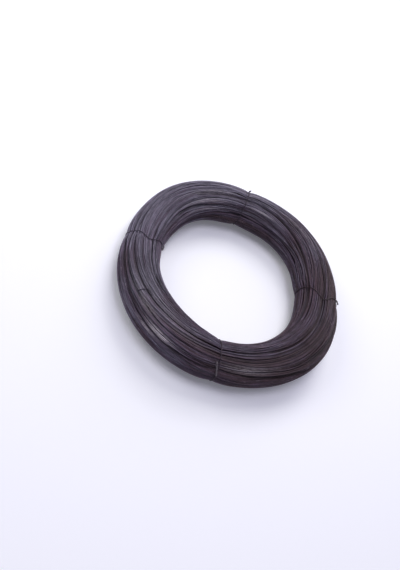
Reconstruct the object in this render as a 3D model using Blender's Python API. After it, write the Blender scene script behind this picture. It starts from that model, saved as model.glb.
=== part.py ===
"""Coil of black annealed binding wire, held by four tie wires.

Metres, +Z up. The coil lies flat with its axis on Z, and the origin is on the floor in the
middle of the bore. A place on the bundle of turns is given by two angles: theta goes round
the coil's axis from +X towards +Y, and phi goes round the bundle's own section, from the
outer side (0) over the top (90) to the bore side (180).
"""

import math
from collections import namedtuple

import bmesh
import bpy
from mathutils import Matrix, Vector

# The bundle of turns
MEAN_DIAMETER = 0.350  # across the middle of the bundle
SECTION_WIDTH = 0.0818  # bundle, from bore side to outer side
SECTION_HEIGHT = 0.0746  # bundle, from underside to top, before it is pressed flat
PRESSED_FLAT = 0.0012  # how far the lowest turns give under the coil's weight

# The coil is a little out of round, and thicker in some places than in others.
# Each entry is (waves round the coil, cosine part, sine part); one wave is a sideways shift.
OUT_OF_ROUND = (
    (1, -0.0038, 0.0002),
    (2, 0.0014, 0.0018),
    (3, 0.0004, -0.0005),
    (4, 0.0003, -0.0017),
    (5, 0.0010, 0.0001),
)
THICKNESS_WAVES = (
    (1, 0.0015, 0.0003),
    (2, 0.0004, 0.0004),
    (3, 0.0011, 0.0010),
    (4, 0.0004, -0.0006),
)

# The turns lie in bands, with furrows between them that open up and close to a crease along the
# coil. Each furrow has its place round the section, at rest and in degrees, where it opens, half
# way and where it closes, then the stretch round the coil where it is open, and its depth there.
Furrow = namedtuple("Furrow", "rests stretch depth")
FURROWS = (
    Furrow((12, 9, 9), (264, 322), 0.0016),
    Furrow((30, 29, 18), (204, 297), 0.0032),
    Furrow((42, 35, 26), (241, 335), 0.0024),
    Furrow((50, 44, 46), (293, 356), 0.0020),
    Furrow((60, 61, 60), (271, 341), 0.0018),
    Furrow((67, 71, 75), (221, 387), 0.0028),
    Furrow((84, 80, 83), (216, 385), 0.0024),
    Furrow((98, 98, 96), (212, 266), 0.0028),
    Furrow((109, 112, 112), (77, 245), 0.0020),
    Furrow((126, 121, 126), (56, 150), 0.0030),
    Furrow((134, 134, 136), (148, 199), 0.0022),
    Furrow((144, 145, 142), (106, 172), 0.0024),
    Furrow((150, 150, 151), (20, 107), 0.0022),
    Furrow((160, 161, 164), (117, 160), 0.0022),
)
PLAIN_FURROWS = 11  # more of them, spaced evenly over the underside and the lower flanks
PLAIN_BETWEEN = (171, 351)
PLAIN_LENGTH = (70, 170)  # shortest and longest, in degrees round the coil
PLAIN_DEPTH = (0.0012, 0.0024)
STEP_ON = 0.618  # from one plain furrow to the next, as a share of the ranges above
FURROW_CLOSE = 14  # how far past its stretch a furrow takes to close up, in degrees
CREASE_DEPTH = 0.0009  # of a furrow that has closed up
FURROW_REACH = 2.6  # from a furrow's bottom to its edges, in degrees round the section

# The upper turns are wound off centre, so the lay swings over the top and back once round
LAY_SWING = math.radians(32)  # how far round the section they swing at most
LAY_SWING_AT = math.radians(331)  # where round the coil they lie nearest the bore
LAY_SWING_SKEW = 1.1  # over 1 puts the strongest swing nearer the bore

# Tie wires
TIE_WIRE = 0.0016  # diameter
TIE_GAP = 0.0003  # clearance between a tie and the turns it holds
TIE_STAND_OFF = TIE_GAP + TIE_WIRE / 2  # from the turns to the middle of the tie
WAIST_DEPTH = 0.0017  # how far a tie draws the bundle in
WAIST_ANGLE = math.radians(7)  # how far round the coil the waist reaches, to 1/e
BITE_ANGLE = math.radians(1.3)  # half the opening of the groove that the tie lies in
TAIL_BEND = 0.0034  # radius at which the twisted ends turn over onto the bundle
TAIL_PITCH = 0.0072  # one full twist
TAIL_SHARE = 2.6  # the loop turns up into the twist this many wire radii from its middle
SWAY_REACH = math.radians(14)  # how far round the coil a tie drags the turns along, to 1/e
SWAY_WIDTH = math.radians(24)  # how much of the section a tie's sideways bow takes, to 1/e
# Each tie, in degrees: theta at the outer side, lean further round the coil at the bore side,
# and a sideways bow, strongest at the phi of bow_at. Its twisted ends spring from tail_at (a
# phi) and are bent over towards heading (0 is along the coil towards greater theta, 90 is
# round the section towards greater phi), rising by lift. Their length is in metres.
Tie = namedtuple("Tie", "at lean bow bow_at tail_at heading lift length")
TIES = {
    "tie_wire_1": Tie(200, -1, 3.8, 100, tail_at=186, heading=152, lift=6, length=0.018),
    "tie_wire_2": Tie(28, 7, -6.5, 93, tail_at=8, heading=-22, lift=9, length=0.015),
    "tie_wire_3": Tie(293, -3, 0, 90, tail_at=18, heading=84, lift=3, length=0.030),
    "tie_wire_4": Tie(115, 4.5, 0, 90, tail_at=44, heading=158, lift=5, length=0.016),
}

# Fineness of the faceted solids
STATION_STEP = math.radians(6.5)
SHOULDER_ANGLE = math.radians(3.4)  # extra station on either side of a tie
TIE_LOOP_STEP = 0.0046
TAIL_STEP = 0.0011
TIE_SIDES_LEVEL = 1  # bevel resolution of a tie wire, which gives six sides

# Finish
WIRE_COLOUR = (0.085, 0.075, 0.085, 1.0)
TIE_COLOUR = (0.040, 0.036, 0.042, 1.0)


def waves(terms, theta):
    """Sum of the waves in terms at theta."""
    return sum(c * math.cos(n * theta) + s * math.sin(n * theta) for n, c, s in terms)


def angle_between(a, b):
    """Smallest turn from b to a, from -pi to pi."""
    return (a - b + math.pi) % (2 * math.pi) - math.pi


def tie_angles():
    return sorted(math.radians(tie.at) for tie in TIES.values())


def pinch(theta):
    """How far the bundle's surface is drawn in at theta: a wide waist, and at the tie its bite."""
    depth = 0.0
    for tie in tie_angles():
        off = abs(angle_between(theta, tie))
        depth += WAIST_DEPTH * math.exp(-((off / WAIST_ANGLE) ** 2))
        depth += TIE_WIRE * max(0.0, 1 - off / BITE_ANGLE)
    return depth


def section(theta):
    """Centre distance from the axis, centre height, half width and half height of the bundle."""
    swell = waves(THICKNESS_WAVES, theta)
    half_height = SECTION_HEIGHT / 2 + swell
    centre = MEAN_DIAMETER / 2 + waves(OUT_OF_ROUND, theta)
    drawn_in = pinch(theta)
    return (
        centre,
        half_height - PRESSED_FLAT,
        SECTION_WIDTH / 2 + swell - drawn_in,
        half_height - drawn_in,
    )


def swayed(theta, phi):
    """theta after the nearest ties have dragged the turns along the coil at phi."""
    moved = theta
    for tie in TIES.values():
        shift = math.radians(tie.lean) * (1 - math.cos(phi)) / 2
        off = angle_between(phi, math.radians(tie.bow_at)) / SWAY_WIDTH
        shift += math.radians(tie.bow) * math.exp(-(off**2))
        reach = angle_between(theta, math.radians(tie.at)) / SWAY_REACH
        moved += shift * math.exp(-(reach**2))
    return moved


def on_section(theta, phi, stand_off):
    """Point at phi, stand_off outside the bundle's smooth envelope."""
    centre, height, half_width, half_height = section(theta)
    out = centre + (half_width + stand_off) * math.cos(phi)
    up = height + (half_height + stand_off) * math.sin(phi)
    around = swayed(theta, phi)
    return Vector((out * math.cos(around), out * math.sin(around), up))


def swing(theta, rest):
    """How far round the section the lay has swung at theta, for turns that rest at rest."""
    half_turn = (rest % (2 * math.pi)) / math.pi
    if half_turn >= 1:
        return 0.0
    across = math.sin(math.pi * half_turn**LAY_SWING_SKEW) ** 2
    return LAY_SWING * across * math.cos(theta - LAY_SWING_AT)


def all_furrows():
    """The furrows in their order round the section, those of the underside last."""
    furrows = list(FURROWS)
    for n in range(PLAIN_FURROWS):
        rest, start, length, depth = (
            low + (high - low) * share
            for (low, high), share in (
                (PLAIN_BETWEEN, (n + 0.5) / PLAIN_FURROWS),
                ((0, 360), STEP_ON * n % 1),
                (PLAIN_LENGTH, 2 * STEP_ON * n % 1),
                (PLAIN_DEPTH, 3 * STEP_ON * n % 1),
            )
        )
        furrows.append(Furrow((rest,) * 3, (start, start + length), depth))
    return furrows


def furrow_at(furrow, theta):
    """Where round the section the furrow lies at theta, at rest, and how deep it is there.

    Past its end it goes back straight to where it starts again, one turn on.
    """
    start, end = furrow.stretch
    first, half_way, last = furrow.rests
    along = (math.degrees(theta) - start) % 360
    knots = ((0, first), ((end - start) / 2, half_way), (end - start, last), (360, first))
    for (here, rest), (there, rest_there) in zip(knots, knots[1:]):
        if here <= along <= there:
            rest += (rest_there - rest) * (along - here) / (there - here)
            break
    outside = max(0, min(along - (end - start), 360 - along))
    strength = max(0.0, 1 - outside / FURROW_CLOSE)
    strength *= strength * (3 - 2 * strength)
    return rest, CREASE_DEPTH + (furrow.depth - CREASE_DEPTH) * strength


def section_points(theta):
    """Points round the section at theta: two edges and the bottom of each furrow in turn."""
    points = []
    for furrow in all_furrows():
        middle, depth = furrow_at(furrow, theta)
        for offset, inset in ((-FURROW_REACH, 0), (0, depth), (FURROW_REACH, 0)):
            rest = math.radians(middle + offset)
            point = on_section(theta, rest + swing(theta, rest), -inset)
            point.z = max(point.z, 0.0)
            points.append(point)
    return points


def station_angles():
    """Angles of the sections: even steps between two ties, one at each tie, two on each side."""
    ties = tie_angles()
    stations = []
    for start, end in zip(ties, ties[1:] + [ties[0] + 2 * math.pi]):
        stations += [start, start + BITE_ANGLE, start + SHOULDER_ANGLE]
        steps = max(3, round((end - start) / STATION_STEP))
        stations += [start + (end - start) * n / steps for n in range(1, steps)]
        stations += [end - SHOULDER_ANGLE, end - BITE_ANGLE]
    return stations


def wire_coil():
    """The wound wire: its sections lofted all the way round."""
    bm = bmesh.new()
    loops = [
        [bm.verts.new(point) for point in section_points(theta)] for theta in station_angles()
    ]
    for here, there in zip(loops, loops[1:] + loops[:1]):
        for n, start in enumerate(here):
            bm.faces.new((here[n - 1], there[n - 1], there[n], start))
    bmesh.ops.recalc_face_normals(bm, faces=bm.faces)
    mesh = bpy.data.meshes.new("wire_coil")
    bm.to_mesh(mesh)
    bm.free()
    mesh.shade_smooth()
    mesh.set_sharp_from_angle(angle=math.radians(28))
    coil = bpy.data.objects.new("wire_coil", mesh)
    bpy.context.scene.collection.objects.link(coil)
    return coil


def tail_axis(tie):
    """Middle of a tie's twisted ends: straight up off the bundle, then bent over along it."""
    heading, lift = math.radians(tie.heading), math.radians(tie.lift)
    quarter = TAIL_BEND * math.pi / 2
    count = round(tie.length / TAIL_STEP)
    axis = []
    for n in range(count + 1):
        s = tie.length * n / count
        turn = min(s / TAIL_BEND, math.pi / 2)
        straight = max(0.0, s - quarter)
        height = TIE_STAND_OFF + TAIL_BEND * math.sin(turn) + straight * math.sin(lift)
        advance = TAIL_BEND * (1 - math.cos(turn)) + straight * math.cos(lift)
        phi = math.radians(tie.tail_at) + 2 * advance * math.sin(heading) / SECTION_WIDTH
        spot = on_section(math.radians(tie.at), phi, height)
        around = advance * math.cos(heading) / math.hypot(spot.x, spot.y)
        axis.append(Matrix.Rotation(around, 3, "Z") @ spot)
    return axis


def tail_strands(axis, first_side):
    """The two wires twisted about axis, the first one starting on first_side of it."""
    apart = (TIE_WIRE + TIE_GAP) / 2
    side = first_side
    strands = ([], [])
    for n, point in enumerate(axis):
        along = (axis[min(n + 1, len(axis) - 1)] - axis[max(n - 1, 0)]).normalized()
        side = (side - along * side.dot(along)).normalized()
        twist = 2 * math.pi * n * TAIL_STEP / TAIL_PITCH
        offset = Matrix.Rotation(twist, 3, along) @ side * apart
        strands[0].append(point + offset)
        strands[1].append(point - offset)
    return strands


def tie_route(tie):
    """Centre line of one tie: down one twisted end, round the bundle and up the other."""
    at, tail_at = math.radians(tie.at), math.radians(tie.tail_at)
    count = round(math.pi * SECTION_WIDTH / TIE_LOOP_STEP)
    clear = TAIL_SHARE * TIE_WIRE / SECTION_WIDTH
    turn = 2 * (math.pi - clear)
    loop = [
        on_section(at, tail_at + clear + turn * n / count, TIE_STAND_OFF) for n in range(count + 1)
    ]
    ahead, behind = tail_strands(tail_axis(tie), loop[0] - loop[-1])
    return ahead[:0:-1] + loop + behind[1:]


def tie_wire(name, tie):
    """A tie: one wire round the bundle, its two ends twisted together and bent over."""
    route = tie_route(tie)
    curve = bpy.data.curves.new(name, "CURVE")
    curve.dimensions = "3D"
    curve.bevel_depth = TIE_WIRE / 2
    curve.bevel_resolution = TIE_SIDES_LEVEL
    curve.use_fill_caps = True
    spline = curve.splines.new("POLY")
    spline.points.add(len(route) - 1)
    for spot, point in zip(spline.points, route):
        spot.co = (*point, 1.0)
    wire = bpy.data.objects.new(name, curve)
    bpy.context.scene.collection.objects.link(wire)
    return wire


def steel(name, colour, roughness):
    """Annealed steel with its dark oxide skin."""
    material = bpy.data.materials.new(name)
    material.use_nodes = True
    shader = material.node_tree.nodes["Principled BSDF"]
    shader.inputs["Base Color"].default_value = colour
    shader.inputs["Roughness"].default_value = roughness
    shader.inputs["Metallic"].default_value = 0.5
    return material


def main():
    for obj in list(bpy.data.objects):
        bpy.data.objects.remove(obj)
    wire_coil().data.materials.append(steel("annealed_wire", WIRE_COLOUR, 0.5))
    tie_steel = steel("tie_wire", TIE_COLOUR, 0.45)
    for name, tie in TIES.items():
        tie_wire(name, tie).data.materials.append(tie_steel)


main()
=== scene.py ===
"""Looks of the coil of black annealed binding wire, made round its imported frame.

Metres, +Z up. A place on the bundle of turns is given by two angles: theta goes round the
coil's axis from +X towards +Y, and phi goes round the bundle's own section, from the outer side
(0) over the top (90) to the bore side (180). A turn rests at an angle of its own round the
section, called rest below, and the lay carries it to the phi where it shows.
"""

from collections import namedtuple
from math import cos, pi, radians, sin

import bpy
import numpy as np
from mathutils import Matrix, Vector


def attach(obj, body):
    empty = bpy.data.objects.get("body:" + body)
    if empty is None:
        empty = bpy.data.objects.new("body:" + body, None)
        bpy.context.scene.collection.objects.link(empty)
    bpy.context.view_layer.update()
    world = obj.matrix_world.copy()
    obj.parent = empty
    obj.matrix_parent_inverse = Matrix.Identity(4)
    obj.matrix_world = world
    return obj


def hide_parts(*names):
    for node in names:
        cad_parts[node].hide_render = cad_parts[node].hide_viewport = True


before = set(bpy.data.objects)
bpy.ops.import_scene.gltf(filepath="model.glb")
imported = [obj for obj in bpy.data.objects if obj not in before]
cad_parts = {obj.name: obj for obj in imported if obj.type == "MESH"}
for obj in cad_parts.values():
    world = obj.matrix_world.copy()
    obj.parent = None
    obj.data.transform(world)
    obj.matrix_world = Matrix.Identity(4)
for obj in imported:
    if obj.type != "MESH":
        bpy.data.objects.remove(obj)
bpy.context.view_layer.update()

TURN = 2 * pi

# The bundle of turns
MEAN_DIAMETER = 0.350  # across the middle of the bundle
SECTION_WIDTH = 0.0818  # bundle, from bore side to outer side
SECTION_HEIGHT = 0.0746  # bundle, from underside to top, before it is pressed flat
PRESSED_FLAT = 0.0012  # how far the lowest turns give under the coil's weight

# The coil is a little out of round, and thicker in some places than in others.
# Each entry is (waves round the coil, cosine part, sine part); one wave is a sideways shift.
OUT_OF_ROUND = (
    (1, -0.0038, 0.0002), (2, 0.0014, 0.0018), (3, 0.0004, -0.0005), (4, 0.0003, -0.0017),
    (5, 0.0010, 0.0001),
)
THICKNESS_WAVES = (
    (1, 0.0015, 0.0003), (2, 0.0004, 0.0004), (3, 0.0011, 0.0010), (4, 0.0004, -0.0006),
)

# The upper turns are wound off centre, so the lay swings over the top and back once round
LAY_SWING = radians(32)  # how far round the section they swing at most
LAY_SWING_AT = radians(331)  # where round the coil they lie nearest the bore
LAY_SWING_SKEW = 1.1  # over 1 puts the strongest swing nearer the bore

# Tie wires
TIE_WIRE = 0.0016  # diameter
WAIST_DEPTH = 0.0017  # how far a tie draws the bundle in
WAIST_ANGLE = radians(7)  # how far round the coil the waist reaches, to 1/e
BITE_ANGLE = radians(2.1)  # the same for the dip that the tie itself lies in
TAIL_BEND = 0.0034  # radius at which the twisted ends turn over onto the bundle
TAIL_PITCH = 0.0072  # one full twist
TAIL_SHARE = 2.6  # the loop turns up into the twist this many wire radii from its middle
SWAY_REACH = radians(14)  # how far round the coil a tie drags the turns along, to 1/e
SWAY_WIDTH = radians(24)  # how much of the section a tie's sideways bow takes, to 1/e
# Each tie, in degrees: theta at the outer side, its lean from there to the bore side, and its
# sideways bow, strongest at the phi bow_at. Its twisted ends spring from the phi tail_at and
# turn over towards heading (0 is along the coil, 90 round the section), rising by lift.
Tie = namedtuple("Tie", "at lean bow bow_at tail_at heading lift length")
TIES = {
    "tie_wire_1": Tie(200, -1, 3.8, 100, tail_at=186, heading=152, lift=6, length=0.018),
    "tie_wire_2": Tie(28, 7, -6.5, 93, tail_at=44, heading=188, lift=14, length=0.0115),
    "tie_wire_3": Tie(293, -3, 0, 90, tail_at=22, heading=104, lift=3, length=0.030),
    "tie_wire_4": Tie(115, 4.5, 0, 90, tail_at=44, heading=158, lift=5, length=0.0048),
}

# The wound wire
WIRE = 0.0016  # diameter
PITCH = 0.00166  # from one turn to the next where they lie side by side
BAND_TURNS = (4, 13)  # turns side by side in a band: at least, and fewer than
BAND_WAVES = ((1, 1.5), (2, 1.0), (3, 0.6), (4, 0.35))  # (waves round the coil, degrees)
LAYER_STRAY = 0.5  # how much more the bands stray for each layer further in
FAN = 0.07  # how far a band opens and closes like a fan, as a share of its width
FAN_WAVES = (1, 4)  # how often round the coil: at least, and fewer than
TURN_STRAY = radians(0.05)  # how far one turn strays in its band
TURN_WAVES = (3, 9)  # how often round the coil, likewise
BAND_CROWN = 0.0005  # how much deeper a band lies at its edges than in its middle
TURN_SINK = 0.0005  # how much deeper than its neighbours a turn may lie

# The furrows between bands where they can be made out, each with the width in metres by which
# it stands open and its line over the surface, in degrees of theta and phi.
Furrow = namedtuple("Furrow", "gap line")
FURROWS = [Furrow(gap, line) for gap, *line in (
    # the front, from the left tie to the right one
    (0.0034, (202, 20), (211, 31), (221, 36), (228, 37), (241, 31), (257, 28), (268, 28)),
    (0.0014, (276, 27), (286, 21), (297, 19)),
    (0.0018, (241, 43), (253, 46), (270, 46)),
    (0.0009, (278, 45), (288, 43), (299, 38), (312, 39), (323, 36), (334, 32), (343, 23),
            (348, 16)),
    (0.0024, (221, 48), (234, 57), (250, 69), (264, 77), (277, 85), (289, 93), (304, 94),
            (322, 92), (343, 93), (361, 94), (387, 92)),
    (0.0020, (216, 68), (224, 74), (240, 81), (252, 87), (264, 91), (274, 97), (293, 106),
            (309, 108), (322, 112), (340, 108), (357, 107), (377, 105), (385, 101)),
    (0.0026, (212, 83), (222, 87), (236, 97), (249, 101), (261, 106), (266, 109)),
    (0.0014, (192, 94), (205, 98), (221, 103), (232, 109), (245, 113)),
    (0.0012, (208, 110), (219, 110), (226, 108)),
    (0.0016, (264, 13), (273, 10), (279, 7)),
    (0.0012, (249, 1), (258, 1)),
    (0.0014, (271, 72), (283, 79), (300, 82), (317, 81), (341, 82)),
    (0.0012, (329, 74), (342, 73), (356, 75), (365, 71), (378, 66)),
    (0.0016, (293, 65), (305, 61), (318, 57), (339, 55), (350, 61), (356, 63)),
    (0.0018, (344, 50), (355, 47), (366, 42)),
    (0.0007, (303, 6), (316, 12), (322, 9)),
    (0.0016, (348, 150), (355, 145), (370, 139), (376, 136)),
    (0.0014, (352, 133), (363, 130), (372, 127)),
    (0.0012, (341, 121), (352, 120)),
    # the far side, from the right tie to the left one
    (0.0020, (20, 150), (40, 152), (52, 150), (64, 149), (78, 153), (94, 153), (107, 144)),
    (0.0028, (56, 134), (66, 127), (80, 117), (91, 107), (103, 98), (114, 96), (129, 104),
            (143, 105), (150, 104)),
    (0.0020, (77, 101), (88, 93), (99, 86), (115, 85), (124, 87)),
    (0.0014, (79, 143), (90, 137), (99, 127), (108, 123)),
    (0.0016, (47, 79), (57, 77), (68, 73), (80, 64)),
    (0.0022, (106, 133), (131, 134), (146, 137), (159, 133), (172, 128)),
    (0.0020, (117, 150), (132, 154), (147, 159), (160, 161)),
    (0.0018, (148, 112), (160, 113), (178, 116), (190, 120), (199, 125)),
    (0.0014, (150, 99), (166, 97), (176, 99)),
    (0.0018, (131, 80), (140, 87), (154, 85), (166, 78), (174, 74)),
    (0.0022, (166, 140), (179, 141), (193, 142)),
    (0.0016, (156, 60), (164, 55), (173, 51), (184, 54)),
    (0.0012, (174, 87), (184, 87)),
)]
# Furrows like them, spaced evenly over the underside and the lower flanks, each with the depth of
# its valley, and slighter ones strewn between them
PLAIN_FURROWS = 11
PLAIN_BETWEEN = (171, 351)  # phi in degrees
PLAIN_LENGTH = (70, 170)  # shortest and longest, theta in degrees
PLAIN_DEPTH = (0.0012, 0.0024)
STEP_ON = 0.618  # from one plain furrow to the next, as a share of the ranges above
SLIGHT_FURROWS = 18
SLIGHT_BETWEEN = (168, 372)
SLIGHT_LENGTH = (30, 110)
SLIGHT_GAP = (0.0004, 0.0012)
SLIGHT_SLANT = 8  # degrees of phi that one end may lie above the other
FURROW_FADE = radians(30)  # how far past its ends a furrow still guides the turns
FURROW_CLOSE = radians(8)  # how far past its ends it closes up
FURROW_HOLD = radians(6)  # how far to either side it guides the turns
FURROW_SHOULDER = radians(7)  # how far to either side its opening presses them together
FURROW_EDGE = radians(0.5)
FURROW_VALLEY = radians(3)  # how far to either side the surface slopes down to it
FURROW_DEPTH = 0.8  # depth of its valley as a share of its gap
LOOSE = 0.12  # how weakly the turns far from a furrow keep to their own way
BEND_SMOOTH = (radians(8), radians(2))  # theta and rest over which the lay eases
HELD_CALM = 0.85  # how much less a band strays beside a furrow
# How far each layer follows the lay, outermost first: shares of its bend and of its gaps
LAYERS = ((1.0, 0.7), (1.0, 0.35), (0.8, 0.0), (0.4, 0.0), (0.0, 0.0))
WIDEST = 97  # percentile of the lay's spread that a turn's pitch makes up for
DRIFT = radians(2.2)  # how far the lay drifts this way and that between the furrows
DRIFT_OVER = (radians(22), radians(7))
UNEVEN = 0.0005  # how far the surface is out of true, mostly
UNEVEN_MOST = 3  # and how many times as far at most
UNEVEN_OVER = (radians(14), radians(4))

# The wire's outer end rises out of a furrow, turns across the band beside it and is tucked in.
# Each point is theta and phi in degrees, and metres from the turns there to the wire's middle.
LOOSE_END = (
    (252, 83, -0.0080), (248, 82.6, -0.0042), (243, 82.2, -0.0014), (239, 81.7, 0.0004),
    (237.5, 80.4, 0.0009), (237, 77.5, 0.0010), (236.9, 73, 0.0009), (236.7, 66, 0.0009),
    (236.5, 61, 0.0009), (236.2, 57, 0.0006), (236.0, 54, -0.0006),
)

# Laying the wire
SEED = 7
STATIONS = 240  # round the coil
CELLS = 640  # of the map of the surface, round the section
RESTS = 720  # steps of the lay, round the section
FOOT = 3  # cells to either side that a wire can touch
DIP = 0.00011  # bend of a pressed wire, in metres for one station either way
DIP_REACH = 6  # stations over which it can bend
REST_STEPS = 12  # corrections by which a turn's rest angle is found
DEEPEST = 0.0075  # depth of the last turns, under which others are lost
SHOWS = 0.0001  # a turn this little under the surface still shows
SHOW_ON = 2  # stations that a turn is made on past where it shows
WIRE_SIDES = 6
PIECES = 6  # that the turns are made in
MAP_MARGIN = 0.05  # share of a turn's strip of the baking map left bare on either side
CORE_STATIONS = 120
CORE_SIDES = 48
TAIL_STEP = 0.0005
TIE_STEP = 0.0015
ACROSS = (0.3, 0.2, 1.0)  # any direction that no bent wire starts along
NO_CAPS = np.empty((0, WIRE_SIDES), int)
TIE_BRIDGE = 4  # cells of the map that a wire across the turns spans from one to the next

# Finish of the wire: its scale at tones 0, 0.5 and 1, and the bare steel, which also paints the
# glints
BROWN_SCALE = (0.070, 0.036, 0.050)
BLACK_SCALE = (0.097, 0.065, 0.106)
BLUE_SCALE = (0.156, 0.138, 0.191)
BARE_STEEL_AND_GLINT = (0.47, 0.42, 0.45)
BAND_TONE = 0.4  # share of a turn's tone that is its band's
LIT_SIDE = radians(180)  # azimuth of the side painted palest and bluest, as painted light and sheen
SIDE_LIGHT_GAIN = 0.12  # how much paler it is painted there, as painted light, and darker opposite, as painted shade
SIDE_SHEEN_TONE = 0.42  # how much bluer it is painted there, as painted sheen
STREAK_TONE = 0.4  # how far the tone strays along a turn
CLOUD_TONE = 0.3  # and from place to place
DASH_BRIGHT = (0.55, 1.45)  # darkest and brightest dashes
PAINTED_SHADE_DEPTH = 0.004  # depth at which the painted shade of the recesses makes a turn as dark as it gets
PAINTED_SHADE_SHARE = 0.42  # how bright it still is there
# Fineness of the patterns: per metre along a turn and per turn across, or per metre all ways
STREAKS = (22, 0.45, 0)
DASHES = (60, 0.9, 0)
SCRAPES = (140, 2.7, 0)
CLOUDS = (11, 11, 11)
GRAIN = (1900, 1900, 1900)
# Levels of each pattern's noise between which it takes effect
STREAK_LEVELS = (0.25, 0.75)
CLOUD_LEVELS = (0.3, 0.7)
DASH_LEVELS = (0.3, 0.7)
WORN_SCRAPES = (0.60, 0.72)
WORN_STREAKS = (0.5, 0.62)
# levels of the scrapes that break up the painted glint spots
GLINT_SPOT_SCRAPES = (0.32, 0.55)
GRAIN_STRENGTH = 0.25
GRAIN_HEIGHT = 0.0002
ROUGHNESS = (0.40, 0.22, -0.14)  # base, and what streaks and rubbing add
WIRE_METALLIC = 0.12
WIRE_SHEEN = 0.32  # specular level
TIE_SHADE = 0.35  # tone of the ties
TIE_BRIGHT = 0.70  # how bright they are next to the turns
TIE_DARK = 0.0036  # depth that the depth darkening reads for them, which makes them darker, to set them off from the turns
TIE_WEAR = 0.3  # how easily their scale comes off, next to the turns
TAIL_WEAR_AND_GLINT = 0.28  # how far it is off their twisted ends, as wear and partly as a painted highlight
CORE_SHADE = 0.2
# Spots painted with bare steel, mostly painted highlights and glints and partly scale rubbed off
# the
# turns: theta, phi and how far each reaches along and across the turns, all in degrees, and how
# strongly each is painted
Rubbed = namedtuple("Rubbed", "theta phi along across share")
GLINT_SPOTS = [Rubbed(*row) for row in (
    (259, 38, 6.5, 7, 1.6), (256, 88, 22, 18, 0.25), (118, 66, 16, 6, 0.40), (253, 22, 6, 3, 0.8),
    (309, 56, 12, 10, 0.50), (244, 60, 12, 9, 0.45), (140, 95, 16, 5, 0.5), (147, 122, 14, 5, 0.5),
    (150, 146, 12, 4, 0.4), (102, 118, 7, 3, 0.7), (78, 82, 14, 6, 0.35),
)]
# Places painted paler and bluer, or darker and browner where extra is negative, mostly as painted
# light and shade and partly as thicker and thinner scale: theta, phi and reaches in degrees as
# above, how much the tone shifts, and how much brighter each is
LightAndScale = namedtuple("LightAndScale", "theta phi along across extra bright")
LIGHT_AND_SCALE_PLACES = [LightAndScale(*row) for row in (
    (135, 66, 40, 32, 0.32, 0), (122, 84, 14, 9, 0.35, 0.20), (118, 74, 40, 26, 0.05, 0.20),
    (262, 50, 28, 50, 0, 0.14), (204, 20, 12, 30, 0, 0.15), (198, 35, 7, 45, 0.15, 0.15),
    (221, 42, 11, 48, -0.50, -0.22), (118, 184, 36, 20, -0.80, -0.30),
    (60, 166, 30, 14, 0.30, 0.10), (188, 142, 20, 18, -0.30, -0.20),
    (240, 124, 28, 14, -0.10, -0.20), (264, 22, 22, 30, 0.20, 0), (292, 72, 22, 16, -0.30, 0),
    (294, 42, 14, 9, -0.35, -0.15), (330, 62, 34, 38, -0.18, -0.10), (10, 42, 14, 9, -0.10, -0.40),
    (44, 62, 22, 16, 0, -0.22), (245, 86, 9, 9, 0.30, 0), (264, 104, 12, 10, 0.35, 0),
    (290, 122, 16, 14, 0.30, 0), (24, 122, 16, 12, 0.35, 0.20), (55, 85, 22, 14, 0.20, 0),
    (72, 132, 16, 12, -0.40, -0.08), (18, 160, 26, 16, 0.20, 0), (345, 136, 18, 14, 0.30, -0.08),
)]

# The photograph's view: degrees, metres, and millimetres of lens and of picture height
VIEW_ELEVATION = 52.2883
VIEW_DISTANCE = 1.20866
VIEW_LENS = 41.048
VIEW_PICTURE = 36
VIEW_YAW = 2.7828
VIEW_PITCH = -0.5690
VIEW_ROLL = -39.4736
VIEW_MIDDLE = (-0.0038, 0.0002, SECTION_HEIGHT / 2 - PRESSED_FLAT)

# Floor and light
FLOOR_SIDE = 40.0
FLOOR_COLOUR = (0.92, 0.92, 0.96)
FLOOR_ROUGHNESS = 0.9
FLOOR_SHEEN = 0.2  # specular level
FLOOR_LIFT = 0.12  # how much whiter the camera and reflections see it near the coil
FAR_LIFT = 0.80  # the same far away, where little light falls
FADE_FROM, FADE_TO = 1.2, 3.6  # metres from the coil's axis
BACKDROP_COLOUR = (0.93, 0.93, 0.97)
WORLD_COLOUR = (0.80, 0.80, 1.15)
WORLD_STRENGTH = 0.19
# Each light: degrees round the coil and above the floor, metres away, side in metres, watts
COOL, WARM = (0.96, 0.95, 1.08), (1.00, 1.00, 0.95)
Light = namedtuple("Light", "azimuth elevation distance side power colour")
LIGHTS = {
    "overhead": Light(0, 90, 3.0, 1.4, 27, COOL),
    "window": Light(108, 50, 2.4, 1.2, 27, WARM),
    "sidelight": Light(188, 42, 2.4, 1.2, 14, WARM),
    "backlight": Light(90, 30, 2.4, 1.0, 9, COOL),
}


def waves(terms, theta):
    """Sum of the waves in terms at theta."""
    return sum(c * np.cos(n * theta) + s * np.sin(n * theta) for n, c, s in terms)


def angle_between(a, b):
    """Smallest turn from b to a, from -pi to pi."""
    return (a - b + pi) % TURN - pi


def bell(x):
    """Bell curve of height 1 that falls to 1/e at 1 and -1."""
    return np.exp(-(x**2))


def share_of(ends, share):
    """The value at this share of the way between the ends."""
    return ends[0] + (ends[1] - ends[0]) * share


def evenly(count):
    """count angles, evenly spaced over a turn."""
    return np.arange(count) * TURN / count


def pinch(theta):
    """How far the ties draw the surface in at theta: a wide waist and a short dip at each."""
    depth = np.zeros_like(theta)
    for tie in TIES.values():
        off = angle_between(theta, radians(tie.at))
        depth = depth + WAIST_DEPTH * bell(off / WAIST_ANGLE) + TIE_WIRE * bell(off / BITE_ANGLE)
    return depth


def section(theta):
    """Centre distance from the axis, centre height, half width and half height of the bundle."""
    swell = waves(THICKNESS_WAVES, theta)
    half_height = SECTION_HEIGHT / 2 + swell
    centre = MEAN_DIAMETER / 2 + waves(OUT_OF_ROUND, theta)
    drawn_in = pinch(theta)
    half_width = SECTION_WIDTH / 2 + swell - drawn_in
    return centre, half_height - PRESSED_FLAT, half_width, half_height - drawn_in


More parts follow.
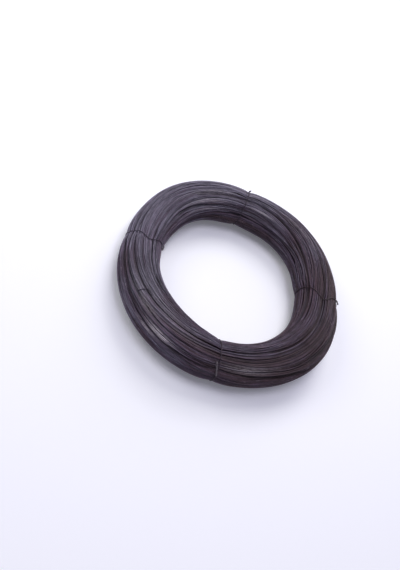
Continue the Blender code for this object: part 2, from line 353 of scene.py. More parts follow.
def swayed(theta, phi):
    """theta after the ties have dragged the turns along the coil at phi."""
    moved = theta
    for tie in TIES.values():
        bow = bell(angle_between(phi, radians(tie.bow_at)) / SWAY_WIDTH)
        shift = radians(tie.lean) * (1 - np.cos(phi)) / 2 + radians(tie.bow) * bow
        reach = angle_between(theta, radians(tie.at)) / SWAY_REACH
        moved = moved + shift * bell(reach)
    return moved


def on_section(theta, phi, stand_off):
    """Points at theta and phi, stand_off outside the bundle's smooth envelope.

    The envelope is an ellipse in the plane through the axis, carried round the axis.
    """
    theta, phi = np.asarray(theta, float), np.asarray(phi, float)
    centre, height, half_width, half_height = section(theta)
    out = centre + (half_width + stand_off) * np.cos(phi)
    up = height + (half_height + stand_off) * np.sin(phi)
    around = swayed(theta, phi)
    return np.stack((out * np.cos(around), out * np.sin(around), up + 0 * around), -1)


def swing(theta, rest):
    """How far round the section the lay has swung at theta, for turns that rest at rest."""
    half_turn = (rest % TURN) / pi
    across = np.sin(pi * np.minimum(half_turn, 1) ** LAY_SWING_SKEW) ** 2
    return LAY_SWING * across * np.cos(theta - LAY_SWING_AT)


STATION_ANGLES = evenly(STATIONS)
REST_ANGLES = evenly(RESTS)
# Metres along the section for each radian of phi, as a mean over the bundle
ARC = float((sum(section(STATION_ANGLES)[2:]) / 2).mean())


def rest_of(theta, phi):
    """The rest angle of the turn that the swing brings to phi, by repeated correction."""
    rest = phi
    for _ in range(REST_STEPS):
        rest = phi - swing(theta, rest)
    return rest


def furrow_run(furrow, fade):
    """A furrow's rest angle at every station, and its strength there, from 0 to 1.

    Past its ends it keeps its last rest angle while the strength fades out.
    """
    theta, phi = np.radians(np.array(furrow.line, float)).T
    middle = (theta[0] + theta[-1]) / 2
    around = middle + angle_between(STATION_ANGLES, middle)
    inside = np.minimum(around - theta[0], theta[-1] - around)
    strength = np.clip(1 + inside / fade, 0, 1)
    return np.interp(around, theta, rest_of(theta, phi)), strength**2 * (3 - 2 * strength)


def smoothed(field, over_theta, over_phi):
    """field blurred by a Gaussian of these widths in radians, round the coil and the section."""
    stations, steps = field.shape
    round_coil = np.fft.fftfreq(stations, 1 / stations)[:, None] * over_theta
    round_section = np.fft.fftfreq(steps, 1 / steps) * over_phi
    keep = np.exp(-(round_coil**2 + round_section**2) / 2)
    return np.fft.ifft2(np.fft.fft2(field) * keep).real


def all_furrows(rng):
    """The furrows of the table, the plain ones and the slight ones."""
    furrows = list(FURROWS)
    for n in range(PLAIN_FURROWS):
        phi = share_of(PLAIN_BETWEEN, (n + 0.5) / PLAIN_FURROWS)
        start = 360 * (STEP_ON * n % 1)
        end = start + share_of(PLAIN_LENGTH, 2 * STEP_ON * n % 1)
        depth = share_of(PLAIN_DEPTH, 3 * STEP_ON * n % 1)
        furrows.append(Furrow(depth, ((start, phi), (end, phi))))
    low, high = SLIGHT_BETWEEN
    for n in range(SLIGHT_FURROWS):
        start, length = rng.uniform(0, 360), rng.uniform(*SLIGHT_LENGTH)
        phi = low + (high - low) * (n + rng.uniform(0.1, 0.9)) / SLIGHT_FURROWS
        ends = phi + SLIGHT_SLANT * rng.uniform(-0.5, 0.5, 3)
        line = tuple(zip(start + length * np.array((0, 0.5, 1)), ends))
        furrows.append(Furrow(rng.uniform(*SLIGHT_GAP), line))
    return furrows


def lay_fields(furrows, rng):
    """The lay over stations and rest angles: bend, opening and hold.

    bend moves the turns beside a furrow so that they run along it: it is the mean of the
    furrows' own bends, each weighted by a bell of the distance from it. opening parts the turns
    on either side of a furrow. hold says how firmly furrows keep the turns there, from 0 to 1.
    """
    bend = np.zeros((STATIONS, RESTS))
    opening = np.zeros_like(bend)
    weight = np.full_like(bend, LOOSE)
    for furrow in furrows:
        rests, strength = furrow_run(furrow, FURROW_FADE)
        rest = (rests * strength).sum() / strength.sum()
        off = angle_between(REST_ANGLES, rest)
        near = bell(off / FURROW_HOLD) * strength[:, None]
        bend += near * (rests - rest)[:, None]
        weight += near
        _, open_here = furrow_run(furrow, FURROW_CLOSE)
        side = np.tanh(off / FURROW_EDGE) * bell(off / FURROW_SHOULDER)
        opening += side * open_here[:, None] * furrow.gap / 2 / ARC
    hold = np.clip(weight - LOOSE, 0, 1)
    drift = smoothed(rng.normal(size=bend.shape), *DRIFT_OVER)
    bend = smoothed(bend / weight, *BEND_SMOOTH) + DRIFT * drift / drift.std() * (1 - hold)
    return bend, opening, hold


def at_rest(field, rest):
    """field read at each station's rest angle, linearly between the steps of the lay."""
    place = (rest % TURN) / TURN * RESTS
    low = np.floor(place).astype(int)
    part = place - low
    rows = np.arange(STATIONS)
    return field[rows, low % RESTS] * (1 - part) + field[rows, (low + 1) % RESTS] * part


def rests_of_layer(bend, follow, phase):
    """Rest angles of one layer's turns: a pitch apart where the lay spreads them most.

    Each turn takes up a pitch at the stations where the lay is widest, so that it leaves no
    gap there, and lies closer to its neighbours, or under them, elsewhere.
    """
    shift = bend * follow + swing(STATION_ANGLES[:, None], REST_ANGLES)
    spread = (np.roll(shift, -1, 1) - np.roll(shift, 1, 1)) / 2 * RESTS / TURN
    widest = 1 + np.clip(np.percentile(spread, WIDEST, axis=0), 0, None)
    share = np.concatenate(([0], np.cumsum(widest)))
    count = int(share[-1] * TURN / RESTS * ARC / PITCH)
    steps = (np.arange(count) + phase) / count * share[-1]
    return np.interp(steps, share, np.arange(RESTS + 1) * TURN / RESTS)


def bands_of(count, rng):
    """Numbers from 0 to count, cut into runs of BAND_TURNS."""
    cuts = np.cumsum(rng.integers(*BAND_TURNS, size=count))
    return np.split(np.arange(count), cuts[cuts < count])


def wander(rng, amplitude):
    """A smooth closed stray over the stations, of a few waves with random phases."""
    stray = np.zeros(STATIONS)
    for n, degrees in BAND_WAVES:
        size = amplitude * radians(degrees) * rng.normal()
        stray += size * np.sin(n * STATION_ANGLES + rng.uniform(0, TURN))
    return stray


def pressed_down(room):
    """Height of a stiff wire under room: it dips and rises again in parabolas, smoothed twice."""
    height = np.min([np.roll(room, n) + DIP * n * n for n in range(-DIP_REACH, DIP_REACH + 1)], 0)
    for _ in range(2):
        height = np.minimum(room, (np.roll(height, 1) + 2 * height + np.roll(height, -1)) / 4)
    return height


def feet_of(phi):
    """The map cells that a turn along phi can touch, and its half thickness over each, or 0."""
    cell = np.round(phi / TURN * CELLS).astype(int)[..., None] + np.arange(-FOOT, FOOT + 1)
    aside = (cell * TURN / CELLS - phi[..., None]) * ARC
    return cell % CELLS, np.sqrt(np.clip((WIRE / 2) ** 2 - aside**2, 0, None))


def settled(ceiling, phi, sink):
    """Height of a turn along phi, sunk by sink under the ceiling, which it then lowers."""
    rows = np.arange(STATIONS)[:, None]
    cell, half = feet_of(phi)
    room = np.where(half > 0, ceiling[rows, cell] - half, 1).min(axis=1)
    height = np.maximum(pressed_down(room) - sink, -DEEPEST)
    under = np.where(half > 0, height[:, None] - half, 1)
    ceiling[rows, cell] = np.minimum(ceiling[rows, cell], under)
    return height


def band_ways(rests, members, layer, fields, rng):
    """The way of each turn of one band, in the order in which they are laid.

    Yields the turn's number in its layer, its phi at each station and how deep it sinks there.
    """
    bend, opening, hold = fields
    follow, opens = LAYERS[layer]
    middle = rests[members].mean()
    calm = 1 - HELD_CALM * at_rest(hold, np.full(STATIONS, middle))
    stray = wander(rng, 1 + LAYER_STRAY * layer) * calm
    fan = 1 + FAN * np.sin(rng.integers(*FAN_WAVES) * STATION_ANGLES + rng.uniform(0, TURN))
    for turn in rng.permutation(members):
        roll = np.sin(rng.integers(*TURN_WAVES) * STATION_ANGLES + rng.uniform(0, TURN))
        edge = (2 * turn + 1 - 2 * members[0]) / len(members) - 1
        sink = BAND_CROWN * edge**2 + TURN_SINK * rng.uniform() * (1 + roll) / 2
        rest = middle + (rests[turn] - middle) * fan + stray + TURN_STRAY * roll
        rest = rest + opens * at_rest(opening, rest) + follow * at_rest(bend, rest)
        yield turn, rest + swing(STATION_ANGLES, rest), sink


Turns = namedtuple("Turns", "phi height seen band rest")


def lay_turns():
    """Packs the turns under the bundle's envelope, the outermost first.

    ceiling is the lowest underside so far, over stations and cells round the section. Each turn
    goes as high as its round section fits under it at every station, dips smoothly, and then
    lowers the ceiling itself. So the turns of a band lie side by side, two bands that meet pass
    over and under each other, and what finds no room is lost in the bundle, under a last layer of
    evenly spaced turns. Returns the turns, and the height of the topmost over stations and cells.
    """
    rng = np.random.default_rng(SEED)
    furrows = all_furrows(rng)
    fields = lay_fields(furrows, rng)
    bend = fields[0]
    ceiling = relief(furrows, rng)
    laid = []
    number = 0
    for layer, (follow, _) in enumerate(LAYERS):
        rests = rests_of_layer(bend, follow, rng.uniform())
        bands = bands_of(len(rests), rng)
        rng.shuffle(bands)
        for members in bands:
            number += 1
            for turn, phi, sink in band_ways(rests, members, layer, fields, rng):
                laid.append((phi, settled(ceiling, phi, sink), number, layer, rests[turn]))
    for rest in rests_of_layer(bend, 0.0, 0.5):
        phi = rest + swing(STATION_ANGLES, rest)
        laid.append((phi, np.full(STATIONS, -DEEPEST), number, len(LAYERS), rest))
    phi, height, band, layer, rest = (np.array(column) for column in zip(*laid))
    cell, half = feet_of(phi)
    rows = np.broadcast_to(np.arange(STATIONS)[:, None], cell.shape)
    lost = (height <= -DEEPEST) & (layer < len(LAYERS))[:, None]
    tops = np.where((half > 0) & ~lost[..., None], height[..., None] + half, -1)
    top = np.full((STATIONS, CELLS), -1.0)
    np.maximum.at(top, (rows, cell), tops)
    seen = (tops > top[rows, cell] - SHOWS).any(axis=2)
    for _ in range(SHOW_ON):
        seen = seen | np.roll(seen, 1, 1) | np.roll(seen, -1, 1)
    return Turns(phi, np.where(lost, -DEEPEST - WIRE, height), seen, band, rest), top


def relief(furrows, rng):
    """The surface that the turns fill: the envelope, a little lower along furrows and bands."""
    cells = evenly(CELLS)
    surface = np.zeros((STATIONS, CELLS))
    for furrow in furrows:
        rests, strength = furrow_run(furrow, FURROW_CLOSE)
        phi = rests + swing(STATION_ANGLES, rests)
        off = angle_between(cells, phi[:, None])
        surface -= FURROW_DEPTH * furrow.gap * strength[:, None] * bell(off / FURROW_VALLEY)
    uneven = smoothed(rng.normal(size=surface.shape), *UNEVEN_OVER)
    return surface - UNEVEN * np.clip(uneven / uneven.std() + 1, 0, UNEVEN_MOST)


def outward_at(theta, phi):
    """Direction away from the middle of the section at theta and phi."""
    around = swayed(theta, phi)
    out = np.cos(phi)
    return np.stack((out * np.cos(around), out * np.sin(around), np.sin(phi) + 0 * around), -1)


def unit(vectors):
    """vectors, each made 1 long."""
    return vectors / np.linalg.norm(vectors, axis=-1, keepdims=True)


def rings(centres, along, outward):
    """Rings of a wire: centre + radius * (cos a * normal + sin a * binormal) at each point.

    binormal is square to the wire and to outward, and normal is square to both.
    """
    along = unit(along)
    binormal = unit(np.cross(along, outward))
    normal = np.cross(binormal, along)
    angle = evenly(WIRE_SIDES)
    spread = np.cos(angle)[:, None] * normal[..., None, :]
    spread = spread + np.sin(angle)[:, None] * binormal[..., None, :]
    return centres[..., None, :] + WIRE / 2 * spread


def linked(name, data):
    """An object with this data, in the scene."""
    made = bpy.data.objects.new(name, data)
    bpy.context.scene.collection.objects.link(made)
    return made


def add_mesh(name, vertices, quads, caps, points, corners):
    """An object made of quads and of caps with one corner for each side of a wire.

    points holds the values of each point attribute, one for each point or one for all, and
    corners those of each UV map.
    """
    sizes = np.concatenate((np.full(len(quads), 4), np.full(len(caps), WIRE_SIDES)))
    index = np.concatenate((quads.ravel(), caps.ravel()))
    mesh = bpy.data.meshes.new(name)
    mesh.vertices.add(len(vertices))
    mesh.vertices.foreach_set("co", vertices.astype(np.float32).ravel())
    mesh.loops.add(len(index))
    mesh.loops.foreach_set("vertex_index", index.astype(np.int32))
    mesh.polygons.add(len(sizes))
    starts = np.concatenate(([0], np.cumsum(sizes)[:-1]))
    mesh.polygons.foreach_set("loop_start", starts.astype(np.int32))
    for label, values in points.items():
        layer = mesh.attributes.new(label, "FLOAT", "POINT")
        layer.data.foreach_set("value", np.full(len(vertices), values, np.float32))
    for label, values in corners.items():
        layer = mesh.uv_layers.new(name=label)
        layer.data.foreach_set("uv", values.astype(np.float32).ravel())
    mesh.update(calc_edges=True)
    mesh.shade_smooth()
    return linked(name, mesh)


def nearness(place, theta, phi):
    """Bell of the distance from place, which has a theta, a phi and a reach each way."""
    along = angle_between(theta, radians(place.theta)) / radians(place.along)
    across = angle_between(phi, radians(place.phi)) / radians(place.across)
    return bell(np.hypot(along, across))


def glint_spots_at(theta, phi):
    """How strongly the spots paint bare steel at theta and phi, mostly as painted glints: the
    highest of the spots' bells.
    """
    return np.max([spot.share * nearness(spot, theta, phi) for spot in GLINT_SPOTS], 0)


def light_and_scale_at(theta, phi):
    """How much the tone shifts and how much brighter the turns are painted, as painted light and
    shade and partly thicker scale: the sums of the places' bells.
    """
    extra, bright = np.zeros((2, *np.broadcast(theta, phi).shape))
    for place in LIGHT_AND_SCALE_PLACES:
        height = nearness(place, theta, phi)
        extra += place.extra * height
        bright += place.bright * height
    return extra, bright


def map_of(u, v):
    """A map of every u with the v that goes with it, in a row for each corner."""
    return np.stack(np.broadcast_arrays(u, v), -1).reshape(-1, 2)


def end_caps(first, last):
    """Caps that close a wire at the rings numbered in first and in last."""
    around = np.arange(WIRE_SIDES)
    first, last = (np.array(ring)[:, None] * WIRE_SIDES for ring in (first, last))
    return np.concatenate((first + around[::-1], last + around))


def wound_turns(name, turns, chosen, shades):
    """One piece of the winding: the chosen turns, where they show, as round wires.

    Each turn is a closed row of rings, and each stretch of it that shows is a tube with a cap
    at either end, or a closed ring if all of it shows.
    """
    phi, height, seen = turns.phi[chosen], turns.height[chosen], turns.seen[chosen]
    centres = on_section(STATION_ANGLES, phi, height)
    centres[..., 2] = np.maximum(centres[..., 2], WIRE / 2)
    along = np.roll(centres, -1, 1) - np.roll(centres, 1, 1)
    vertices = rings(centres, along, outward_at(STATION_ANGLES, phi))
    shown = seen & np.roll(seen, -1, 1)
    rows, here = (index[:, None] for index in np.nonzero(shown))
    station = here + (0, 0, 1, 1)
    side = np.arange(WIRE_SIDES)[:, None] + (0, 1, 1, 0)
    ring = rows * STATIONS + station % STATIONS
    quads = (ring[:, None] * WIRE_SIDES + side % WIRE_SIDES).reshape(-1, 4)
    v = (side / WIRE_SIDES * (1 - 2 * MAP_MARGIN) + MAP_MARGIN + rows[:, None]) / len(phi)
    first = np.flatnonzero(shown & ~np.roll(shown, 1, 1))
    last = np.flatnonzero(np.roll(shown, 1, 1) & ~shown)
    caps = end_caps(first, last)
    row, end = np.divmod(np.repeat(np.concatenate((first, last)), WIRE_SIDES), STATIONS)
    edge = map_of(end / STATIONS, (row + 0.5) / len(phi))
    flat = np.concatenate((map_of(station[:, None] / STATIONS, v), edge))
    lay = flat * (TURN * MEAN_DIAMETER / 2, len(phi))
    # shade and bright carry the places' painted light and shade, depth drives the painted shade of
    # the recesses, and the spots add mostly painted glints
    extra, bright = light_and_scale_at(STATION_ANGLES, phi)
    values = {
        "shade": shades[chosen][:, None] + extra,
        "bright": 1 + bright,
        "depth": -height,
        "rubbed": glint_spots_at(STATION_ANGLES, phi),
    }
    used, index = np.unique(np.concatenate((quads.ravel(), caps.ravel())), return_inverse=True)
    quads, caps = index[: quads.size].reshape(-1, 4), index[quads.size :].reshape(-1, WIRE_SIDES)
    values = {label: value.ravel()[used // WIRE_SIDES] for label, value in values.items()}
    vertices = vertices.reshape(-1, 3)[used]
    return add_mesh(name, vertices, quads, caps, values, {"OFBake": flat, "lay": lay})


def winding(turns):
    """All the turns that show, in pieces of like size that follow each other round the section."""
    rng = np.random.default_rng(SEED + 1)
    shades = BAND_TONE * rng.uniform(size=turns.band.max() + 1)[turns.band]
    shades = shades + (1 - BAND_TONE) * rng.uniform(size=len(turns.band))
    order = np.argsort(turns.rest)
    count = np.cumsum(turns.seen[order].sum(axis=1))
    share = np.minimum(count * PIECES // (count[-1] + 1), PIECES - 1)
    return [
        wound_turns(f"turns_{n + 1}", turns, order[share == n], shades) for n in range(PIECES)
    ]


def core():
    """The turns further in, as a plain ring under the others."""
    theta = evenly(CORE_STATIONS)[:, None]
    vertices = on_section(theta, evenly(CORE_SIDES), -DEEPEST).reshape(-1, 3)
    station = np.arange(CORE_STATIONS)[:, None, None] + (0, 1, 1, 0)
    side = np.arange(CORE_SIDES)[:, None] + (0, 0, 1, 1)
    quads = (station % CORE_STATIONS * CORE_SIDES + side % CORE_SIDES).reshape(-1, 4)
    flat = map_of(station / CORE_STATIONS, side / CORE_SIDES)
    lay = flat * (TURN * MEAN_DIAMETER / 2, TURN * ARC / PITCH)
    # its depth gives the core the darkest painted shade
    values = {"shade": CORE_SHADE, "bright": 1, "depth": DEEPEST, "rubbed": 0}
    return add_mesh("core", vertices, quads, NO_CAPS, values, {"OFBake": flat, "lay": lay})


def turned(vectors, axis, angle):
    """vectors turned about axis by angle, row by row."""
    cosine, sine = np.cos(angle)[:, None], np.sin(angle)[:, None]
    level = (vectors * axis).sum(axis=1, keepdims=True)
    return vectors * cosine + np.cross(axis, vectors) * sine + axis * level * (1 - cosine)


def carried(first, along):
    """first carried along a path, kept square to it and turned as little as possible."""
    sides = []
    for direction in along:
        first = unit(first - direction * (first @ direction))
        sides.append(first)
    return np.array(sides)


def tail_axis(tie):
    """Middle of a tie's twisted ends: straight up off the bundle, then bent over along it."""
    heading, lift = radians(tie.heading), radians(tie.lift)
    s = np.linspace(0, tie.length, round(tie.length / TAIL_STEP) + 1)
    turn = np.minimum(s / TAIL_BEND, pi / 2)
    straight = np.maximum(0, s - TAIL_BEND * pi / 2)
    height = TIE_WIRE / 2 + TAIL_BEND * np.sin(turn) + straight * sin(lift)
    advance = TAIL_BEND * (1 - np.cos(turn)) + straight * cos(lift)
    phi = radians(tie.tail_at) + 2 * advance * sin(heading) / SECTION_WIDTH
    spot = on_section(np.full_like(phi, radians(tie.at)), phi, height)
    around = advance * cos(heading) / np.hypot(spot[:, 0], spot[:, 1])
    return s, turned(spot, np.tile((0.0, 0.0, 1.0), (len(spot), 1)), around)


def eased(values):
    """values with each one but the first and last drawn to the mean of its neighbours, twice."""
    for _ in range(2):
        inner = (values[:-2] + 2 * values[1:-1] + values[2:]) / 4
        values = np.concatenate((values[:1], inner, values[-1:]))
    return values


def top_of_turns(surface, theta, phi):
    """Height of the turns along theta and phi, as a wire that crosses them feels it."""
    station = np.round(theta / TURN * STATIONS).astype(int) % STATIONS
    cell = np.round(phi / TURN * CELLS).astype(int)[:, None]
    cell = (cell + np.arange(-TIE_BRIDGE, TIE_BRIDGE + 1)) % CELLS
    return eased(surface[station[:, None], cell].max(axis=1))


def tie_route(tie, surface):
    """Centre line of one tie, and which of its points are in the twisted ends.

    It runs down one twisted end, round the bundle on the turns and up the other end.
    """
    tail_at = radians(tie.tail_at)
    clear = TAIL_SHARE * TIE_WIRE / SECTION_WIDTH
    count = round(pi * SECTION_WIDTH / TIE_STEP)
    phi = np.linspace(tail_at + clear, tail_at + TURN - clear, count + 1)
    theta = np.full_like(phi, radians(tie.at))
    loop = on_section(theta, phi, top_of_turns(surface, theta, phi) + TIE_WIRE / 2)
    s, axis = tail_axis(tie)
    axis = axis + (loop[0] + loop[-1]) / 2 - axis[0]
    along = unit(np.gradient(axis, axis=0))
    side = turned(carried(unit(loop[0] - loop[-1]), along), along, TURN * s / TAIL_PITCH)
    offset = side * TIE_WIRE / 2
    tail = np.ones(len(axis) - 1)
    return (
        np.concatenate(((axis + offset)[:0:-1], loop, (axis - offset)[1:])),
        np.concatenate((tail, np.zeros(len(loop)), tail)),
    )


def loose_end_route(surface):
    """Centre line of the wire's outer end, through its points and eased between them."""
    theta, phi, lift = np.array(LOOSE_END, float).T
    theta, phi = np.radians(theta), np.radians(phi)
    legs = np.hypot(np.diff(theta) * MEAN_DIAMETER / 2, np.diff(phi) * ARC)
    reach = np.concatenate(([0], np.cumsum(legs)))
    s = np.linspace(0, reach[-1], round(reach[-1] / TAIL_STEP) + 1)
    theta, phi, lift = (eased(np.interp(s, reach, column)) for column in (theta, phi, lift))
    return on_section(theta, phi, eased(top_of_turns(surface, theta, phi)) + lift)


def bent_wire(name, route, rubbed):
    """A piece of wire that follows route, with its cut ends closed, darker than the turns."""
    along = unit(np.gradient(route, axis=0))
    across = np.cross(along[0], ACROSS)
    vertices = rings(route, along, carried(across, along))
    s = np.concatenate(([0], np.cumsum(np.linalg.norm(np.diff(route, axis=0), axis=1))))
    ring = np.arange(len(route) - 1)[:, None, None] + (0, 0, 1, 1)
    side = np.arange(WIRE_SIDES)[:, None] + (0, 1, 1, 0)
    quads = (ring * WIRE_SIDES + side % WIRE_SIDES).reshape(-1, 4)
    ends = map_of(np.repeat((0.0, s[-1]), WIRE_SIDES), 0.5)
    lay = np.concatenate((map_of(s[ring], side / WIRE_SIDES), ends))
    values = {"shade": TIE_SHADE, "bright": TIE_BRIGHT, "depth": TIE_DARK}
    values["rubbed"] = np.repeat(rubbed, WIRE_SIDES)
    uv_maps = {"OFBake": lay / (s[-1], 1), "lay": lay}
    caps = end_caps([0], [len(route) - 1])
    return add_mesh(name, vertices.reshape(-1, 3), quads, caps, values, uv_maps)


def fill(tree, node, sockets):
    """The node, with each of these inputs, by name or number, linked or set."""
    for label, value in sockets.items():
        if isinstance(value, bpy.types.NodeSocket):
            tree.links.new(value, node.inputs[label])
        else:
            node.inputs[label].default_value = value
    return node


def joined(tree, kind, sockets, **settings):
    """A new shader node, with these settings and inputs."""
    node = tree.nodes.new("ShaderNode" + kind)
    for label, value in settings.items():
        setattr(node, label, value)
    return fill(tree, node, sockets)


def maths(tree, operation, a, b=0.0, c=0.0, clamp=False):
    """Result of this operation on a, b and c, held from 0 to 1 if clamp is set."""
    settings = {"operation": operation, "use_clamp": clamp}
    return joined(tree, "Math", {0: a, 1: b, 2: c}, **settings).outputs[0]


def mixed(tree, blend, factor, a, b):
    """Colour a blended with colour b by this factor."""
    settings = {"data_type": "RGBA", "blend_type": blend}
    return joined(tree, "Mix", {0: factor, 6: a, 7: b}, **settings).outputs[2]


def product(tree, first, *others):
    """The factors multiplied together."""
    for other in others:
        first = maths(tree, "MULTIPLY", first, other)
    return first


def from_to(tree, value, low, high, to_low=0.0, to_high=1.0):
    """value mapped from low..high to to_low..to_high, and held at the ends."""
    sockets = {0: value, 1: low, 2: high, 3: to_low, 4: to_high}
    return joined(tree, "MapRange", sockets, clamp=True).outputs[0]


def mottle(tree, place, scale, detail=2.0, roughness=0.55):
    """Soft noise from 0 to 1 over place, scaled in each direction, with 0.5 as its middle."""
    place = joined(tree, "VectorMath", {0: place, 1: scale}, operation="MULTIPLY").outputs[0]
    sockets = {"Vector": place, "Scale": 1.0, "Detail": detail, "Roughness": roughness}
    return joined(tree, "TexNoise", sockets).outputs[0]


def oxide_skin():
    """Black scale of annealing: it is bluish where thick, brown where thin, and rubs off. Over it
    are painted light and sheen towards the lit side, painted shade in the recesses and painted
    glints.

    Shade is a turn's own tone and Bright its brightness, both also carrying painted light and
    shade in places, Depth is how far it lies under the surface, which darkens it as painted shade,
    Run runs along the wire in metres and across it in turns, Place is the point itself, Wear says
    how easily the scale comes off and Rubbed where it has come off or where a glint is painted.
    """
    tree = bpy.data.node_groups.new("oxide_skin", "ShaderNodeTree")
    for labels, in_out, kind in (
        ("Shade Bright Depth Wear Rubbed", "INPUT", "Float"),
        ("Run Place", "INPUT", "Vector"),
        ("Colour", "OUTPUT", "Color"),
        ("Roughness Height", "OUTPUT", "Float"),
    ):
        for label in labels.split():
            tree.interface.new_socket(label, in_out=in_out, socket_type="NodeSocket" + kind)
    given = tree.nodes.new("NodeGroupInput").outputs
    radius = MEAN_DIAMETER / 2
    # side grows towards the lit side of the coil, where the painted light and sheen are strongest
    towards = (cos(LIT_SIDE) / radius, sin(LIT_SIDE) / radius, 0)
    sockets = {0: given["Place"], 1: towards}
    side = joined(tree, "VectorMath", sockets, operation="DOT_PRODUCT").outputs["Value"]
    cloud = mottle(tree, given["Place"], CLOUDS)
    streak = mottle(tree, given["Run"], STREAKS, detail=3.0)
    scrape = mottle(tree, given["Run"], SCRAPES)
    dash = mottle(tree, given["Run"], DASHES, detail=1.0)
    streak_tone = from_to(tree, streak, *STREAK_LEVELS, -STREAK_TONE, STREAK_TONE)
    cloud_tone = from_to(tree, cloud, *CLOUD_LEVELS, -CLOUD_TONE, CLOUD_TONE)
    tone = maths(tree, "ADD", given["Shade"], streak_tone)
    tone = maths(tree, "ADD", tone, cloud_tone)
    # bluer towards the lit side, as painted sheen
    tone = maths(tree, "MULTIPLY_ADD", side, SIDE_SHEEN_TONE, tone, clamp=True)
    ramp = joined(tree, "ValToRGB", {"Fac": tone})
    stops = ramp.color_ramp.elements
    stops[0].color = (*BROWN_SCALE, 1)
    stops[1].color = (*BLUE_SCALE, 1)
    stops.new(0.5).color = (*BLACK_SCALE, 1)
    # paler towards the lit side, as painted light, and darker opposite, as painted shade
    painted_side_light = maths(tree, "MULTIPLY_ADD", side, SIDE_LIGHT_GAIN, 1.0)
    dashes = from_to(tree, dash, *DASH_LEVELS, *DASH_BRIGHT)
    surface = from_to(tree, given["Depth"], 0.0, PAINTED_SHADE_DEPTH, 1.0, 0.0)
    # turns lying deeper are darkened, as painted shade in the recesses
    painted_depth_shade = from_to(tree, surface, 0, 1, PAINTED_SHADE_SHARE, 1)
    bright = product(tree, dashes, painted_side_light, painted_depth_shade, given["Bright"])
    grey = joined(tree, "CombineColor", {0: bright, 1: bright, 2: bright}).outputs[0]
    shaded = mixed(tree, "MULTIPLY", 1.0, ramp.outputs[0], grey)
    scraped = from_to(tree, scrape, *WORN_SCRAPES)
    streaked = from_to(tree, streak, *WORN_STREAKS)
    rubbed = product(tree, scraped, surface, streaked, given["Wear"])
    # the spots add mostly painted glints to the worn scale of the scrapes above
    spots = product(tree, given["Rubbed"], from_to(tree, scrape, *GLINT_SPOT_SCRAPES))
    rubbed = maths(tree, "MAXIMUM", rubbed, spots, clamp=True)
    colour = mixed(tree, "MIX", rubbed, shaded, (*BARE_STEEL_AND_GLINT, 1))
    base, by_streak, by_rubbing = ROUGHNESS
    rough = maths(tree, "MULTIPLY_ADD", streak, by_streak, base)
    rough = maths(tree, "MULTIPLY_ADD", rubbed, by_rubbing, rough)
    height = mottle(tree, given["Place"], GRAIN)
    made = {"Colour": colour, "Roughness": rough, "Height": height}
    fill(tree, tree.nodes.new("NodeGroupOutput"), made)
    return tree


def annealed_steel(name, skin, wear):
    """Annealed steel under its oxide skin, which follows the piece's own maps and attributes."""
    material = bpy.data.materials.new(name)
    material.use_nodes = True
    tree = material.node_tree
    sockets = {
        "Run": joined(tree, "UVMap", {}, uv_map="lay").outputs[0],
        "Place": joined(tree, "TexCoord", {}).outputs["Object"],
        "Wear": wear,
    }
    for label in ("shade", "bright", "depth", "rubbed"):
        read = joined(tree, "Attribute", {}, attribute_name=label)
        sockets[label.capitalize()] = read.outputs["Fac"]
    group = joined(tree, "Group", sockets, node_tree=skin).outputs
    grain = {"Height": group["Height"], "Strength": GRAIN_STRENGTH, "Distance": GRAIN_HEIGHT}
    fill(tree, tree.nodes["Principled BSDF"], {
        "Base Color": group["Colour"],
        "Roughness": group["Roughness"],
        "Normal": joined(tree, "Bump", grain).outputs["Normal"],
        "Metallic": WIRE_METALLIC,
        "Specular IOR Level": WIRE_SHEEN,
    })
    return material


def seen_directly(tree):
    """1 for what the camera sees, straight or in a reflection, and 0 for light on its way."""
    path = joined(tree, "LightPath", {}).outputs
    seen = maths(tree, "MAXIMUM", path["Is Camera Ray"], path["Is Glossy Ray"])
    return maths(tree, "MAXIMUM", seen, path["Is Transmission Ray"])


def pale_floor():
    """Matt pale floor, seen a little whiter than lit, and as white as the backdrop far off."""
    material = bpy.data.materials.new("floor")
    material.use_nodes = True
    tree = material.node_tree
    place = joined(tree, "TexCoord", {}).outputs["Object"]
    away = joined(tree, "VectorMath", {0: place}, operation="LENGTH").outputs["Value"]
    lift = from_to(tree, away, FADE_FROM, FADE_TO, FLOOR_LIFT, FAR_LIFT)
    fill(tree, tree.nodes["Principled BSDF"], {
        "Base Color": (*FLOOR_COLOUR, 1),
        "Roughness": FLOOR_ROUGHNESS,
        "Specular IOR Level": FLOOR_SHEEN,
        "Emission Color": (*FLOOR_COLOUR, 1),
        "Emission Strength": product(tree, seen_directly(tree), lift),
    })
    return material


def pale_world():
    """Weak light from all round, which shows as a pale backdrop."""
    world = bpy.data.worlds.new("surroundings")
    world.use_nodes = True
    tree = world.node_tree
    light = {"Color": (*WORLD_COLOUR, 1), "Strength": WORLD_STRENGTH}
    light = fill(tree, tree.nodes["Background"], light).outputs[0]
    backdrop = joined(tree, "Background", {"Color": (*BACKDROP_COLOUR, 1)}).outputs[0]
    mix = joined(tree, "MixShader", {0: seen_directly(tree), 1: light, 2: backdrop})
    fill(tree, tree.nodes["World Output"], {"Surface": mix.outputs[0]})
    return world


def view_axes():
    """Right, up and forward of the camera, as rows, and its place.

    It faces the middle of the coil from its elevation, and is then rolled, yawed and pitched.
    """
    elevation = radians(VIEW_ELEVATION)
    forward = np.array((0, cos(elevation), -sin(elevation)))
    right = np.array((1.0, 0.0, 0.0))
    axes = np.stack((right, np.cross(right, forward), forward))
    for angle, axis in ((VIEW_ROLL, "Z"), (VIEW_YAW, "Y"), (VIEW_PITCH, "X")):
        axes = np.array(Matrix.Rotation(radians(angle), 3, axis)) @ axes
    return axes, -VIEW_DISTANCE * forward + VIEW_MIDDLE


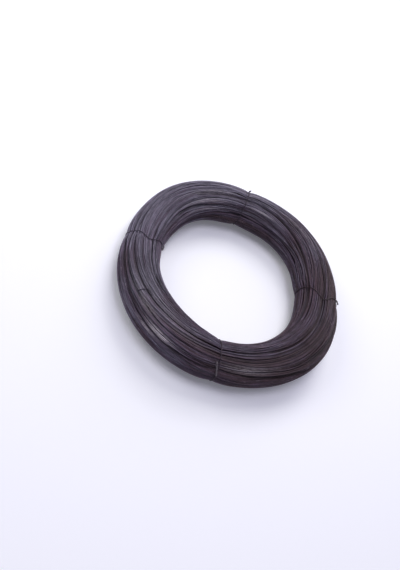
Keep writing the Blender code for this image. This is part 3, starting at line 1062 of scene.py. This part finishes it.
def place_camera():
    """A camera with the photograph's view."""
    (right, up, forward), place = view_axes()
    camera = linked("camera", bpy.data.cameras.new("camera"))
    camera.data.sensor_fit = "VERTICAL"
    camera.data.sensor_height = VIEW_PICTURE
    camera.data.lens = VIEW_LENS
    facing = Matrix((right, up, -forward)).transposed().to_4x4()
    camera.matrix_world = Matrix.Translation(place) @ facing
    bpy.context.scene.camera = camera


def soft_light(name, light):
    """A square light that faces the coil from its azimuth and elevation."""
    azimuth, elevation = radians(light.azimuth), radians(light.elevation)
    level = cos(elevation)
    away = Vector((cos(azimuth) * level, sin(azimuth) * level, sin(elevation)))
    data = bpy.data.lights.new(name, "AREA")
    data.size = light.side
    data.energy = light.power
    data.color = light.colour
    lamp = linked(name, data)
    lamp.location = away * light.distance
    lamp.rotation_euler = away.to_track_quat("Z", "Y").to_euler()


def surroundings():
    """The pale floor, the light and the camera."""
    corners = FLOOR_SIDE / 2 * np.array(((-1, -1, 0), (1, -1, 0), (1, 1, 0), (-1, 1, 0)))
    floor = add_mesh("floor", corners, np.array(((0, 1, 2, 3),)), NO_CAPS, {}, {})
    floor.data.materials.append(pale_floor())
    bpy.context.scene.world = pale_world()
    for name, light in LIGHTS.items():
        soft_light(name, light)
    bpy.context.scene.view_settings.view_transform = "Standard"
    place_camera()


def main():
    """Makes every piece, rides it on the coil's one body and sets it in its surroundings."""
    turns, surface = lay_turns()
    loose_end = loose_end_route(surface)
    coil = winding(turns) + [core()]
    coil.append(bent_wire("loose_end", loose_end, np.zeros(len(loose_end))))
    skin = oxide_skin()
    wire = annealed_steel("annealed_wire", skin, 1.0)
    for piece in coil:
        piece.data.materials.append(wire)
        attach(piece, "root")
        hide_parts("wire_coil")
    tie_steel = annealed_steel("tie_wire", skin, TIE_WEAR)
    for name, tie in TIES.items():
        route, tail = tie_route(tie, surface)
        piece = bent_wire(name + "_bent", route, TAIL_WEAR_AND_GLINT * tail)
        piece.data.materials.append(tie_steel)
        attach(piece, "root")
        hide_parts(name)
    surroundings()


main()
